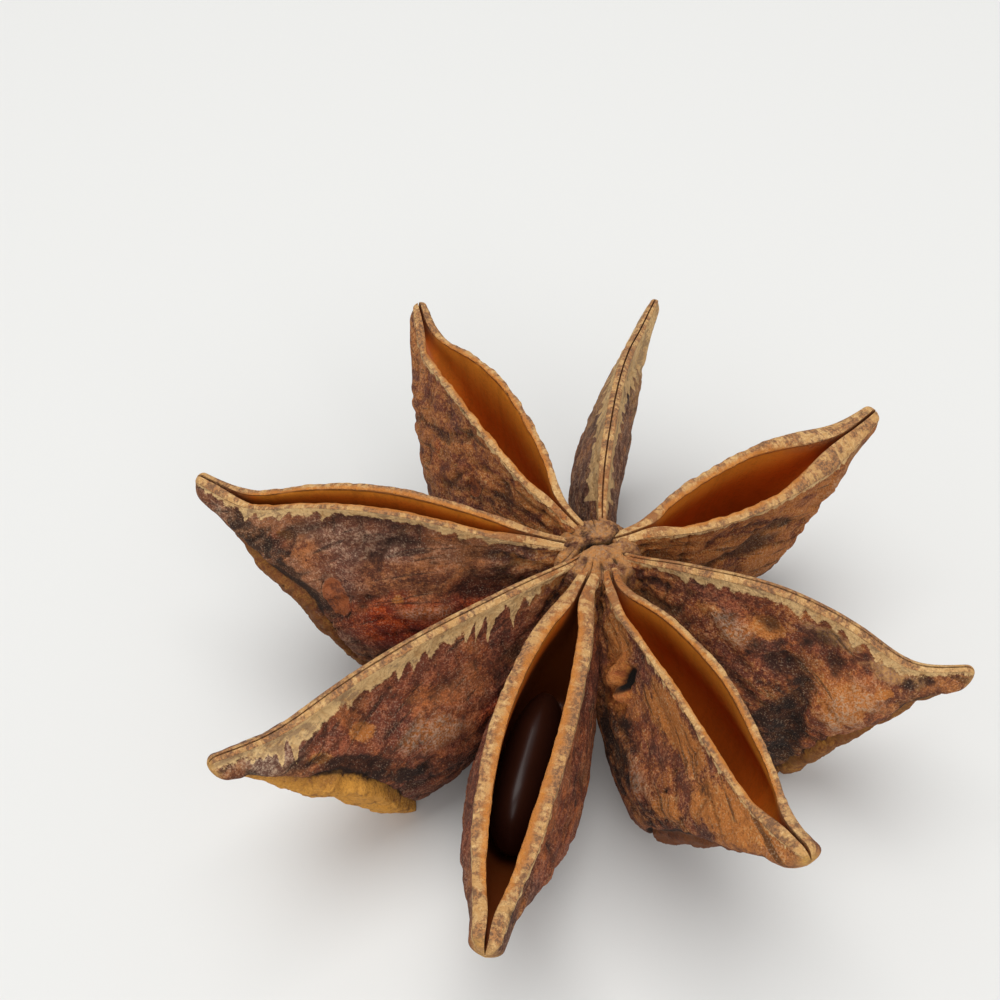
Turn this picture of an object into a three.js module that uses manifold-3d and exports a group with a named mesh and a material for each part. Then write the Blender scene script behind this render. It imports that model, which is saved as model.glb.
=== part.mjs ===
// A dried star anise pod: eight boat-shaped follicles joined at their inner ends around a short hub.
// It lies on its keels with the seams upward. Five follicles have split open, and one still holds its seed.
// Millimetres and degrees, +Z up. The floor is z = 0 and the origin is under the middle of the star's box.
import * as THREE from 'three';
import { mergeVertices } from 'three/addons/utils/BufferGeometryUtils.js';
import Module from 'manifold-3d';

const wasm = await Module();
wasm.setup();

// Driving dimensions of the whole pod
const CROWN_HEIGHT = 9.6; // the hub's top above the floor, and the height that the seams start at
const SEAM_START = 1.1; // distance from the hub's axis to the inner end of each seam
const OPEN_RIM = 0.55; // thickness of an open follicle's lips and walls
const CLOSED_RIM = 0.4; // half of the band that the two lips of a closed follicle make
const SEAM_GROOVE = 0.18; // depth of the groove between closed lips
const BELLY = 0.5; // the widest level of a follicle, from keel (0) to lip (1)
const HOLLOW_FLOOR = 0.3; // level of an open follicle's floor, from keel (0) to lip (1)
const HOLLOW_START = 0.08; // where the hollow starts, from inner end (0) to tip (1)
const HOLLOW_END = 0.93; // where it ends
const HOLLOW_CLEARANCE = 2.5; // how far the cutting shape stands above the lips
const THINNEST_HOLLOW = 0.07; // half the width of the narrowest slit
const STATIONS = 20; // sections along a follicle
const HOLLOW_STATIONS = 12; // sections along a hollow

// Shapes that all follicles share, as [distance along, fraction] points of a smooth curve
const CREST_SHAPE = [[0, 0], [0.2, 0.62], [0.45, 1], [0.68, 0.62], [0.84, 0.12], [1, 0]];
const SADDLE_SHAPE = [[0, 0], [0.6, 0], [0.84, 1], [1, 0]];
const WIDTH_SHAPE = [[0, 0.4], [0.2, 0.72], [0.5, 1], [0.72, 0.74], [0.88, 0.4], [1, 0.24]];
const GAPE_SHAPE = [[0, 0], [0.1, 0.12], [0.28, 0.72], [0.5, 1], [0.72, 0.72], [0.9, 0.22], [1, 0]];
const OUTER_LEVELS = [0.95, 0.8, 0.62, 0.44, 0.26, 0.1]; // points down a wall, from lip to keel
const HOLLOW_LEVELS = [0.98, 0.78, 0.6, 0.44]; // points down the inside of a wall

// Each follicle: heading counterclockwise from +X, reach from the axis to the tip, rise of the tip,
// height of the crest and depth of the saddle behind the beak along the seam, depth from seam to keel,
// distance along to the keel's corner (0 to 1), twist to its left, sideways bow, half of its width,
// width of the gape (0 where it is closed) and sideways lean of its lips.
const FOLLICLES = [
  { heading: 171, reach: 17.6, rise: 0.8, crest: 1.6, saddle: 0.4, depth: 9.5, corner: 0.49,
    twist: 4, bow: 1.4, halfWidth: 2.2, gape: 0.6, lean: -0.5 },
  { heading: 123, reach: 16.3, rise: 1.6, crest: 1.1, saddle: 0.6, depth: 9.5, corner: 0.54,
    twist: 2, bow: 1.6, halfWidth: 2.1, gape: 1.6, lean: -1 },
  { heading: 81, reach: 16.7, rise: -0.3, crest: 1.1, saddle: 0.4, depth: 9.6, corner: 0.56,
    twist: 8, bow: 0.8, halfWidth: 1.25, gape: 0, lean: 0 },
  { heading: 34, reach: 14.8, rise: 0.2, crest: -0.3, saddle: 0.7, depth: 10, corner: 0.57,
    twist: 13, bow: -0.7, halfWidth: 2, gape: 1.7, lean: 0.3 },
  { heading: 342, reach: 15.3, rise: -0.8, crest: 1.8, saddle: 0.6, depth: 9.4, corner: 0.53,
    twist: -4, bow: -0.9, halfWidth: 2.2, gape: 0, lean: 0 },
  { heading: 296, reach: 16, rise: 2.5, crest: 0.3, saddle: 0.3, depth: 10.1, corner: 0.5,
    twist: 5, bow: -1.5, halfWidth: 2.5, gape: 1.1, lean: 1.6 },
  { heading: 259, reach: 17.3, rise: -0.1, crest: 0.4, saddle: 0.3, depth: 9.6, corner: 0.52,
    twist: -4, bow: -0.5, halfWidth: 2.3, gape: 1.7, lean: 0 },
  { heading: 217.5, reach: 17.6, rise: 0.2, crest: 0.8, saddle: 0.4, depth: 9.9, corner: 0.54,
    twist: 0, bow: 0.3, halfWidth: 2.3, gape: 0, lean: 0 },
];
const SEED_FOLLICLE = FOLLICLES[6]; // the one that still holds its seed
const TORN_FOLLICLE = FOLLICLES[5]; // the one whose wall is holed near the hub

// The hub, as [radius, distance below the crown]; the small ring at the bottom is the stalk's scar
const HUB_PROFILE = [[0, 0.25], [0.7, 0.15], [1.5, 0.45], [2, 1.4], [2.3, 3.4], [2.1, 5.2], [1.5, 6],
  [1.3, 6.9], [1.1, 7], [0.8, 6.75], [0, 6.7]];
const HUB_SIDES = 24;

// The seed: a smooth flat lens on edge between the walls
const SEED_LENGTH = 6.8;
const SEED_HEIGHT = 4.1;
const SEED_THICKNESS = 2.2;
const SEED_ALONG = 0.47; // place of its middle, from inner end (0) to tip (1)
const SEED_GAP = 0.9; // height of its lowest point above the floor of its hollow, which narrows to a crease

// The torn hole: a small ragged wedge through the wall that faces away from the next open follicle
const HOLE_ALONG = 0.32;
const HOLE_LEVEL = 0.83;
const HOLE_OUTLINE = [[-0.5, 0.1], [-0.1, -0.75], [0.2, -0.2], [0.45, 0], [0.1, 0.25], [0.15, 0.75]];
const HOLE_DEPTH = 2.2;

const UP = new THREE.Vector3(0, 0, 1);
const radians = THREE.MathUtils.degToRad;
const mix = THREE.MathUtils.lerp;

// Smooth curve through [x, y] points, with the slope at each point taken from its neighbours
function curveAt(points, x) {
  const last = points.length - 1;
  const along = THREE.MathUtils.clamp(x, points[0][0], points[last][0]);
  let i = 0;
  while (i < last - 1 && along > points[i + 1][0]) {
    i += 1;
  }
  const slope = (k) => {
    const before = points[Math.max(k - 1, 0)];
    const after = points[Math.min(k + 1, last)];
    return (after[1] - before[1]) / (after[0] - before[0]);
  };
  const step = points[i + 1][0] - points[i][0];
  const t = (along - points[i][0]) / step;
  const ease = t * t * (3 - 2 * t);
  const pull = slope(i) * t * (1 - t) ** 2 - slope(i + 1) * t * t * (1 - t);
  return mix(points[i][1], points[i + 1][1], ease) + step * pull;
}

function keelShape(corner) {
  return [[0, 0.6], [corner * 0.45, 0.86], [corner - 0.08, 0.985], [corner, 1], [corner + 0.07, 0.93],
    [(corner + 1) / 2, 0.5], [0.9, 0.22], [1, 0.11]];
}

// A point of a follicle: distance along it (0 to 1), then millimetres to its left and below its seam line
function placePoint(follicle, along, left, below) {
  const twist = radians(follicle.twist) * THREE.MathUtils.smoothstep(along, 0, 0.35);
  const out = mix(SEAM_START, follicle.reach, along);
  const side = left * Math.cos(twist) + below * Math.sin(twist) + follicle.bow * 4 * along * (1 - along);
  const drop = below * Math.cos(twist) - left * Math.sin(twist);
  const height = CROWN_HEIGHT + follicle.rise * along - drop;
  const point = new THREE.Vector3(out, side, Math.max(height, 0));
  return point.applyAxisAngle(UP, radians(follicle.heading));
}

// Sizes of a follicle's section at a distance along it
function sectionAt(follicle, along) {
  const crest = follicle.crest * curveAt(CREST_SHAPE, along);
  const saddle = follicle.saddle * curveAt(SADDLE_SHAPE, along);
  const rim = follicle.gape > 0 ? OPEN_RIM : CLOSED_RIM;
  return {
    top: saddle - crest,
    bottom: follicle.depth * curveAt(keelShape(follicle.corner), along),
    belly: follicle.halfWidth * curveAt(WIDTH_SHAPE, along),
    gape: (follicle.gape / 2) * curveAt(GAPE_SHAPE, along),
    lean: follicle.lean * curveAt(GAPE_SHAPE, along),
    rim: rim * (1 - 0.3 * THREE.MathUtils.smoothstep(along, 0.7, 1)),
  };
}

// Half of a section's width at a level between the keel (0) and the lip (1)
function halfWidthAt(section, level) {
  if (level < BELLY) {
    return section.belly * Math.sin((Math.PI / 2) * (level / BELLY)) ** 0.8;
  }
  const lip = section.gape + section.rim;
  return mix(section.belly, lip, THREE.MathUtils.smoothstep(level, BELLY, 1));
}

// A ring of points around a section: over the top, down its left wall, under, and up its right wall
function ringFrom(topPoints, wallPoints, bottomPoint) {
  const mirror = ([left, below, lean]) => [-left, below, lean];
  const down = [...topPoints, ...wallPoints];
  const up = down.slice(1).reverse().map(mirror);
  return [...down, bottomPoint, ...up];
}

function outerRing(follicle, along) {
  const section = sectionAt(follicle, along);
  const groove = follicle.gape > 0 ? 0 : Math.min(SEAM_GROOVE, 0.3 * section.rim);
  const top = [
    [0, section.top + groove, 1],
    [section.gape + 0.4 * section.rim, section.top, 1],
  ];
  const wall = OUTER_LEVELS.map((level) => (
    [halfWidthAt(section, level), mix(section.bottom, section.top, level), level]
  ));
  const points = ringFrom(top, wall, [0, section.bottom, 0]);
  return points.map(([left, below, lean]) => placePoint(follicle, along, left + lean * section.lean, below));
}

function hollowRing(follicle, along) {
  const section = sectionAt(follicle, along);
  const inside = (level) => Math.max(halfWidthAt(section, level) - section.rim, THINNEST_HOLLOW);
  const slit = inside(1);
  const above = section.top - HOLLOW_CLEARANCE;
  const top = [[0, above, 1], [slit, above, 1]];
  const wall = HOLLOW_LEVELS.map((level) => (
    [inside(level), mix(section.bottom, section.top, level), level]
  ));
  const floor = [0, mix(section.bottom, section.top, HOLLOW_FLOOR), HOLLOW_FLOOR];
  const points = ringFrom(top, wall, floor);
  return points.map(([left, below, lean]) => placePoint(follicle, along, left + lean * section.lean, below));
}

// A closed skin over a row of rings, with a fan of triangles over each end
function loft(rings) {
  const count = rings[0].length;
  const middle = (ring) => {
    const sum = ring.reduce((total, point) => total.add(point), new THREE.Vector3());
    return sum.divideScalar(count);
  };
  const points = [...rings.flat(), middle(rings[0]), middle(rings[rings.length - 1])];
  const lastRing = (rings.length - 1) * count;
  const startMiddle = rings.length * count;
  const faces = [];
  for (let j = 0; j < count; j += 1) {
    const next = (j + 1) % count;
    for (let ring = 0; ring < lastRing; ring += count) {
      faces.push(ring + j, ring + count + next, ring + next);
      faces.push(ring + j, ring + count + j, ring + count + next);
    }
    faces.push(startMiddle, j, next);
    faces.push(startMiddle + 1, lastRing + next, lastRing + j);
  }
  const geometry = new THREE.BufferGeometry().setFromPoints(points);
  geometry.setIndex(faces);
  return geometry;
}

// Conversions between three.js geometry and a solid that can be joined and cut
function solidFrom(geometry) {
  const bare = geometry.clone();
  bare.deleteAttribute('normal');
  bare.deleteAttribute('uv');
  const merged = mergeVertices(bare, 1e-4);
  const mesh = new wasm.Mesh({
    numProp: 3,
    vertProperties: new Float32Array(merged.attributes.position.array),
    triVerts: new Uint32Array(merged.index.array),
  });
  return new wasm.Manifold(mesh);
}

function geometryFrom(solid) {
  const mesh = solid.getMesh();
  const geometry = new THREE.BufferGeometry();
  geometry.setAttribute('position', new THREE.BufferAttribute(mesh.vertProperties, 3));
  geometry.setIndex(new THREE.BufferAttribute(mesh.triVerts, 1));
  geometry.computeVertexNormals();
  return geometry;
}

function follicleBody(follicle) {
  const rings = [];
  for (let i = -1; i <= STATIONS; i += 1) {
    rings.push(outerRing(follicle, i / STATIONS));
  }
  return solidFrom(loft(rings));
}

function follicleHollow(follicle) {
  const rings = [];
  for (let i = 0; i <= HOLLOW_STATIONS; i += 1) {
    rings.push(hollowRing(follicle, mix(HOLLOW_START, HOLLOW_END, i / HOLLOW_STATIONS)));
  }
  return solidFrom(loft(rings));
}

function hubBody() {
  const profile = HUB_PROFILE.map(([radius, below]) => new THREE.Vector2(radius, CROWN_HEIGHT - below));
  const geometry = new THREE.LatheGeometry(profile.reverse(), HUB_SIDES);
  geometry.rotateX(Math.PI / 2);
  return solidFrom(geometry);
}

function tornHole() {
  const section = sectionAt(TORN_FOLLICLE, HOLE_ALONG);
  const below = mix(section.bottom, section.top, HOLE_LEVEL);
  const wall = -halfWidthAt(section, HOLE_LEVEL) + section.lean * HOLE_LEVEL;
  const outline = new THREE.Shape(HOLE_OUTLINE.map(([x, y]) => new THREE.Vector2(x, y)));
  const geometry = new THREE.ExtrudeGeometry(outline, { depth: HOLE_DEPTH, bevelEnabled: false });
  geometry.translate(0, 0, -HOLE_DEPTH / 2);
  geometry.rotateX(Math.PI / 2);
  geometry.rotateZ(radians(TORN_FOLLICLE.heading));
  const middle = placePoint(TORN_FOLLICLE, HOLE_ALONG, wall, below);
  geometry.translate(middle.x, middle.y, middle.z);
  return solidFrom(geometry);
}

function podGeometry() {
  let pod = hubBody();
  for (const follicle of FOLLICLES) {
    pod = pod.add(follicleBody(follicle));
  }
  for (const follicle of FOLLICLES.filter(({ gape }) => gape > 0)) {
    pod = pod.subtract(follicleHollow(follicle));
  }
  return geometryFrom(pod.subtract(tornHole()));
}

function seedGeometry() {
  const section = sectionAt(SEED_FOLLICLE, SEED_ALONG);
  const floor = mix(section.bottom, section.top, HOLLOW_FLOOR);
  const geometry = new THREE.SphereGeometry(0.5, 20, 10);
  geometry.scale(SEED_LENGTH, SEED_THICKNESS, SEED_HEIGHT);
  geometry.rotateZ(radians(SEED_FOLLICLE.heading));
  const middle = placePoint(SEED_FOLLICLE, SEED_ALONG, 0, floor - SEED_GAP - SEED_HEIGHT / 2);
  geometry.translate(middle.x, middle.y, middle.z);
  return geometryFrom(solidFrom(geometry));
}

function namedMesh(name, geometry, color, roughness) {
  const material = new THREE.MeshStandardMaterial({ color, roughness, metalness: 0 });
  const mesh = new THREE.Mesh(geometry, material);
  mesh.name = name;
  return mesh;
}

const star = new THREE.Group();
star.add(namedMesh('pod', podGeometry(), 0x6e4527, 0.75));
star.add(namedMesh('seed', seedGeometry(), 0x3a1a10, 0.15));

// The hub is not quite in the middle of the star, so the star is moved until its box is centred
const middle = new THREE.Box3().setFromObject(star).getCenter(new THREE.Vector3());
star.position.set(-middle.x, -middle.y, 0);
star.updateMatrixWorld(true);

export default star;
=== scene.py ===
"""A dried star anise pod: eight woody follicles around a hub, lying on their keels, and one seed."""
import itertools
import math

import bpy
import numpy as np
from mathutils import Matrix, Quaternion, Vector


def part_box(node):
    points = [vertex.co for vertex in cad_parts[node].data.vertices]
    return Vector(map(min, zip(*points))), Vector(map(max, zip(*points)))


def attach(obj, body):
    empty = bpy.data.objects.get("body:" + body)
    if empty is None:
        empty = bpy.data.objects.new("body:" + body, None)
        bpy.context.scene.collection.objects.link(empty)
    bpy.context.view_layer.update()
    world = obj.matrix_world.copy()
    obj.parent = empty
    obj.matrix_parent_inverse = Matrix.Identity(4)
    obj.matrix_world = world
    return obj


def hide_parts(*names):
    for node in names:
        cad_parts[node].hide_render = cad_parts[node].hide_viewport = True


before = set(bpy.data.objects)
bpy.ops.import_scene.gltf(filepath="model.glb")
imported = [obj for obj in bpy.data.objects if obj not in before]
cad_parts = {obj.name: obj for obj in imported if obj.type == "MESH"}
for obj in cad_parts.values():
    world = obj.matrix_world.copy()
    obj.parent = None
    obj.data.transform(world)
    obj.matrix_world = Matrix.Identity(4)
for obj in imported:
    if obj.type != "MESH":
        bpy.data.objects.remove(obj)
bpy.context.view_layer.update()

bl_info = {
    "name": "Star anise pod",
    "version": (1, 0, 0),
    "blender": (4, 5, 0),
    "location": "3D View > Sidebar > Star anise",
    "description": "Makes a dried star anise pod with open and closed follicles, its hub and a seed",
    "category": "Add Mesh",
}

MM = 0.001
POD_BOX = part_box("pod")
SEED_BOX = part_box("seed")

# -------- sizes, in millimetres and degrees

CROWN_HEIGHT = 9.6  # the hub's top above the floor, and the height that the seams start at
SEAM_START = 1.1  # distance from the hub's axis to the inner end of each seam
BELLY = 0.5  # the widest level of a follicle, from keel (0) to lip (1)
HOLLOW_FLOOR = 0.3  # level of an open follicle's floor
HOLLOW_START = 0.05  # where a hollow starts, from inner end (0) to tip (1)
GROOVE_DEPTH = 0.22  # depth of the groove between closed lips
SLIT_DEPTH = 0.7  # depth of the slit past a hollow's ends
GROOVE_HALF = 0.035  # half of that groove's width
SLIT_HALF = 0.07  # half of that slit's width
TIP_ROUNDING = 0.45  # length of the rounded end of a beak
SKIN_START = -0.04  # where a follicle's skin starts, on the scale from inner end (0) to tip (1)
TIP_FROM, TIP_SPAN = 0.965, 0.035  # the share of the mesh where the rounded end starts, and its length
SKIN_KNOTS = (0, 0.32, 0.64, 0.69, 0.82, 0.95, 1)  # shares of the way round where each stretch starts
ALONG_CUTS = 236  # mesh divisions along a follicle
AROUND_CUTS = 208  # mesh divisions around it
CRACK_HEADING = 33
SEED_FOLLICLE = 6  # the seed's follicle, counted from 0
SEED_LENGTH = 6.8
SEED_THICKNESS = 2.2
CAMERA_AWAY = (0, -33.3, 40.4)  # the camera, from the hub's top
CAMERA_AIM = (-4.2, 2.4, 0)  # what it looks at, from the hub's top
CAMERA_ROLL = -3.5

CREST_SHAPE = ((0, 0), (0.2, 0.62), (0.45, 1), (0.68, 0.62), (0.84, 0.12), (1, 0))
SADDLE_SHAPE = ((0, 0), (0.6, 0), (0.84, 1), (1, 0))
WIDTH_SHAPE = ((0, 0.4), (0.2, 0.72), (0.5, 1), (0.72, 0.74), (0.88, 0.4), (1, 0.24))
GAPE_SHAPE = ((0, 0), (0.1, 0.12), (0.28, 0.72), (0.5, 1), (0.72, 0.72), (0.9, 0.22), (1, 0))

# The follicles, clockwise from the left one: first the sizes of the solid, then the finish. lip is the
# thickness of the rims and ragged their unevenness, band the width of the tan edge under them and teeth
# the height of its points. strip is the level that the corky strip along the beak's keel reaches, bulge
# how far it stands out and cork its colour from dark (0) to yellow-orange (1). closes is where a hollow
# narrows to a slit, shade makes the painted shade in the lining come sooner with depth, and grey, red,
# worn and dark tint the husk (0 to 1). marks are tints, scars, pits, tears and lumps, each (kind, side,
# distance along, level, length, height, strength). A lump's strength is its height, or its depth where
# negative.
LEFT, RIGHT = 1, -1
FOLLICLES = (
    {
        "heading": 171, "reach": 17.6, "rise": 0.8, "crest": 1.6, "saddle": 0.4,
        "depth": 9.5, "corner": 0.49, "twist": 4, "bow": 1.4, "half_width": 2.2, "gape": 0.6,
        "lean": -0.5, "rim": 0.5, "lip": 0.34, "ragged": 0.05, "closes": (0.8, 0.94),
        "band": 0.34, "teeth": 0.28, "strip": 0.46, "bulge": 0.16, "cork": 0.35,
        "shade": 2.4, "grey": 0.6, "red": 0.2, "worn": 0.1, "dark": 0.25,
        "marks": (
            ("red", LEFT, 0.38, 0.52, 6.5, 3.6, 1.0),
            ("red", LEFT, 0.20, 0.66, 3.5, 2.6, 0.8),
            ("red", LEFT, 0.74, 0.74, 1.2, 0.8, 0.5),
            ("grey", LEFT, 0.52, 0.86, 8.0, 1.8, 1.0),
            ("scar", LEFT, 0.575, 0.60, 1.35, 1.9, 1.0),
            ("worn", LEFT, 0.41, 0.66, 0.6, 0.35, 1.0),
            ("worn", LEFT, 0.72, 0.80, 1.2, 0.4, 0.7),
            ("dark", LEFT, 0.80, 0.64, 4.6, 1.5, 1.0),
            ("lump", LEFT, 0.66, 0.50, 3.5, 1.4, -0.3),
            ("lump", LEFT, 0.16, 0.72, 4.5, 0.9, -0.3),
            ("lump", LEFT, 0.36, 0.60, 4.5, 2.6, 0.25),
        ),
    },
    {
        "heading": 123, "reach": 16.3, "rise": 1.6, "crest": 1.1, "saddle": 0.6,
        "depth": 9.5, "corner": 0.54, "twist": 2, "bow": 1.6, "half_width": 2.1, "gape": 1.6,
        "lean": -1.0, "rim": 0.45, "lip": 0.3, "ragged": 0.09, "closes": (0.8, 0.94),
        "band": 0.15, "teeth": 0.15, "strip": 0.2, "bulge": 0.06, "cork": 0.3,
        "shade": 0.42, "grey": 0.5, "red": 0.35, "worn": 0.6, "dark": 0.05,
        "marks": (
            ("scar", LEFT, 0.35, 0.73, 0.85, 1.1, 1.0),
            ("red", LEFT, 0.55, 0.69, 0.8, 1.3, 0.9),
            ("worn", LEFT, 0.45, 0.66, 2.6, 1.5, 0.45),
            ("dark", LEFT, 0.26, 0.76, 1.1, 1.1, 0.8),
            ("worn", LEFT, 0.16, 0.90, 1.6, 1.2, 0.8),
        ),
    },
    {
        "heading": 81, "reach": 16.7, "rise": -0.3, "crest": 1.1, "saddle": 0.4,
        "depth": 9.6, "corner": 0.56, "twist": 8, "bow": 0.8, "half_width": 1.25, "gape": 0,
        "lean": 0, "rim": 0.26, "lip": 0.3, "ragged": 0.03,
        "band": 1.9, "teeth": 0.8, "strip": 0.14, "bulge": 0.04, "cork": 0.3,
        "shade": 1, "grey": 0.9, "red": 0.05, "worn": 0.45, "dark": 0.25,
        "marks": (
            ("tan", RIGHT, 0.75, 0.70, 6.0, 3.6, 0.9),
            ("tan", LEFT, 0.65, 0.75, 7.0, 3.6, 0.9),
            ("dark", RIGHT, 0.62, 0.80, 2.2, 0.5, 0.8),
        ),
    },
    {
        "heading": 34, "reach": 14.8, "rise": 0.2, "crest": -0.3, "saddle": 0.7,
        "depth": 10, "corner": 0.57, "twist": 13, "bow": -0.7, "half_width": 2, "gape": 1.7,
        "lean": 0.3, "rim": 0.6, "lip": 0.42, "ragged": 0.08, "closes": (0.5, 0.9),
        "band": 0.2, "teeth": 0.2, "strip": 0.2, "bulge": 0.06, "cork": 0.3,
        "shade": 0.5, "grey": 0.35, "red": 0.35, "worn": 0.7, "dark": 0.05,
        "marks": (
            ("worn", RIGHT, 0.15, 0.85, 1.8, 1.6, 0.9),
            ("worn", RIGHT, 0.70, 0.93, 2.2, 0.5, 0.8),
            ("tan", RIGHT, 0.90, 0.70, 2.0, 1.4, 0.7),
            ("dark", RIGHT, 0.55, 0.35, 4.0, 2.4, 0.6),
            ("lump", RIGHT, 0.45, 0.72, 3.6, 1.8, -0.25),
            ("lump", RIGHT, 0.78, 0.72, 2.4, 1.8, 0.2),
        ),
    },
    {
        "heading": 342, "reach": 15.3, "rise": -0.8, "crest": 1.8, "saddle": 0.6,
        "depth": 9.4, "corner": 0.53, "twist": -4, "bow": -0.9, "half_width": 2.2, "gape": 0,
        "lean": 0, "rim": 0.27, "lip": 0.3, "ragged": 0.04,
        "band": 0.36, "teeth": 0.35, "strip": 0.36, "bulge": 0.16, "cork": 0.45,
        "shade": 1, "grey": 0.3, "red": 0.35, "worn": 0.45, "dark": 0.3,
        "marks": (
            ("worn", RIGHT, 0.44, 0.86, 2.2, 1.2, 0.9),
            ("worn", RIGHT, 0.28, 0.86, 1.8, 0.8, 0.8),
            ("tan", RIGHT, 0.62, 0.92, 3.2, 0.9, 0.8),
            ("dark", RIGHT, 0.53, 0.42, 3.4, 9.0, 0.8),
            ("worn", RIGHT, 0.70, 0.62, 2.8, 2.2, 0.8),
            ("tan", RIGHT, 0.80, 0.88, 3.6, 1.2, 0.8),
            ("worn", RIGHT, 0.79, 0.70, 1.3, 0.4, 1.0),
            ("dark", RIGHT, 0.86, 0.80, 1.6, 0.5, 0.7),
            ("lump", RIGHT, 0.57, 0.45, 1.5, 6.0, -0.45),
            ("lump", RIGHT, 0.72, 0.62, 3.6, 3.2, 0.35),
            ("lump", RIGHT, 0.36, 0.80, 4.5, 1.8, 0.25),
            ("lump", RIGHT, 0.50, 0.76, 2.2, 1.1, -0.3),
        ),
    },
    {
        "heading": 296, "reach": 16, "rise": 2.5, "crest": 0.3, "saddle": 0.3,
        "depth": 10.1, "corner": 0.5, "twist": 5, "bow": -1.5, "half_width": 2.5, "gape": 1.1,
        "lean": 1.6, "rim": 0.5, "lip": 0.28, "ragged": 0.05, "closes": (0.8, 0.94),
        "band": 0.1, "teeth": 0.15, "strip": 0.3, "bulge": 0.03, "cork": 0.1,
        "shade": 0.45, "grey": 0.15, "red": 0.3, "worn": 0.45, "dark": 0.2,
        "marks": (
            ("worn", RIGHT, 0.22, 0.88, 3.4, 2.2, 1.0),
            ("worn", RIGHT, 0.52, 0.90, 6.5, 1.8, 0.9),
            ("worn", RIGHT, 0.80, 0.80, 4.4, 2.4, 1.0),
            ("dark", RIGHT, 0.40, 0.55, 5.0, 4.2, 1.0),
            ("dark", RIGHT, 0.60, 0.45, 3.4, 2.4, 0.8),
            ("dark", RIGHT, 0.66, 0.12, 5.0, 1.6, 0.9),
            ("pit", RIGHT, 0.32, 0.83, 0.9, 1.5, 1.0),
            ("pit", RIGHT, 0.63, 0.66, 0.3, 0.3, 1.0),
            ("worn", RIGHT, 0.665, 0.55, 1.7, 1.2, 1.0),
            ("lump", RIGHT, 0.665, 0.55, 1.6, 1.0, 0.18),
            ("tear", RIGHT, 0.30, 0.76, 2.6, 3.2, 1.0),
            ("lump", RIGHT, 0.33, 0.755, 1.3, 0.6, 0.45),
            ("lump", RIGHT, 0.275, 0.78, 0.8, 1.8, 0.45),
            ("lump", RIGHT, 0.26, 0.64, 1.4, 0.7, -0.2),
            ("lump", RIGHT, 0.55, 0.62, 3.6, 2.4, 0.22),
        ),
    },
    {
        "heading": 259, "reach": 17.3, "rise": -0.1, "crest": 0.4, "saddle": 0.3,
        "depth": 9.6, "corner": 0.52, "twist": -4, "bow": -0.5, "half_width": 2.3, "gape": 1.7,
        "lean": 0, "rim": 0.68, "lip": 0.6, "ragged": 0.04, "closes": (0.84, 0.98),
        "band": 0.3, "teeth": 0.2, "strip": 0.35, "bulge": 0.12, "cork": 0.1,
        "shade": 2.6, "grey": 0.45, "red": 0.35, "worn": 0.2, "dark": 0.2,
        "marks": (
            ("worn", LEFT, 0.88, 0.70, 2.5, 1.5, 0.5),
            ("dark", LEFT, 0.65, 0.30, 2.5, 1.2, 0.7),
            ("worn", LEFT, 0.12, 0.90, 1.6, 1.2, 0.7),
        ),
    },
    {
        "heading": 217.5, "reach": 17.6, "rise": 0.2, "crest": 0.8, "saddle": 0.4,
        "depth": 9.9, "corner": 0.54, "twist": 0, "bow": 0.3, "half_width": 2.3, "gape": 0,
        "lean": 0, "rim": 0.27, "lip": 0.3, "ragged": 0.05,
        "band": 0.72, "teeth": 0.6, "strip": 0.47, "bulge": 0.42, "cork": 0.9,
        "shade": 1, "grey": 0.4, "red": 0.35, "worn": 0.1, "dark": 0.35,
        "marks": (
            ("grey", LEFT, 0.86, 0.75, 3.0, 2.0, 1.0),
            ("worn", LEFT, 0.66, 0.77, 1.2, 0.7, 0.9),
            ("worn", LEFT, 0.77, 0.68, 1.3, 0.5, 1.0),
            ("red", LEFT, 0.30, 0.50, 4.5, 3.5, 0.8),
            ("dark", LEFT, 0.60, 0.52, 3.6, 1.2, 1.0),
            ("dark", LEFT, 0.46, 0.40, 3.0, 2.2, 0.8),
            ("lump", LEFT, 0.70, 0.60, 3.6, 1.1, -0.35),
            ("lump", LEFT, 0.50, 0.66, 4.0, 2.6, 0.25),
            ("lump", LEFT, 0.22, 0.55, 3.0, 1.2, -0.25),
        ),
    },
)

# Soft lights: name, place from the hub's top and side in metres, watts and colour
SOFTBOXES = (
    ("softbox_above", (-0.03, 0.04, 0.42), 0.32, 1.2, (1.0, 0.995, 0.985)),
    ("softbox_left", (-0.34, -0.10, 0.30), 0.36, 0.1, (0.98, 0.99, 1.0)),
    ("softbox_front", (0.12, -0.36, 0.32), 0.36, 0.9, (1.0, 0.99, 0.98)),
)

# Radius and depth below the crown, from the hub's top to its underside
HUB_PROFILE = ((0, -0.1), (0.6, -0.2), (1.2, -0.05), (1.75, 0.45), (1.95, 1.8), (1.8, 4.6), (1.5, 6.1),
               (1.3, 6.9), (1.1, 7), (0.8, 6.75), (0, 6.7))


# -------- curves and noise

def mix(low, high, amount):
    return low + (high - low) * amount


def ease(value, start, end):
    """0 before start, 1 after end, and smooth between them."""
    t = np.clip((value - start) / (end - start), 0, 1)
    return t * t * (3 - 2 * t)


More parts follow.
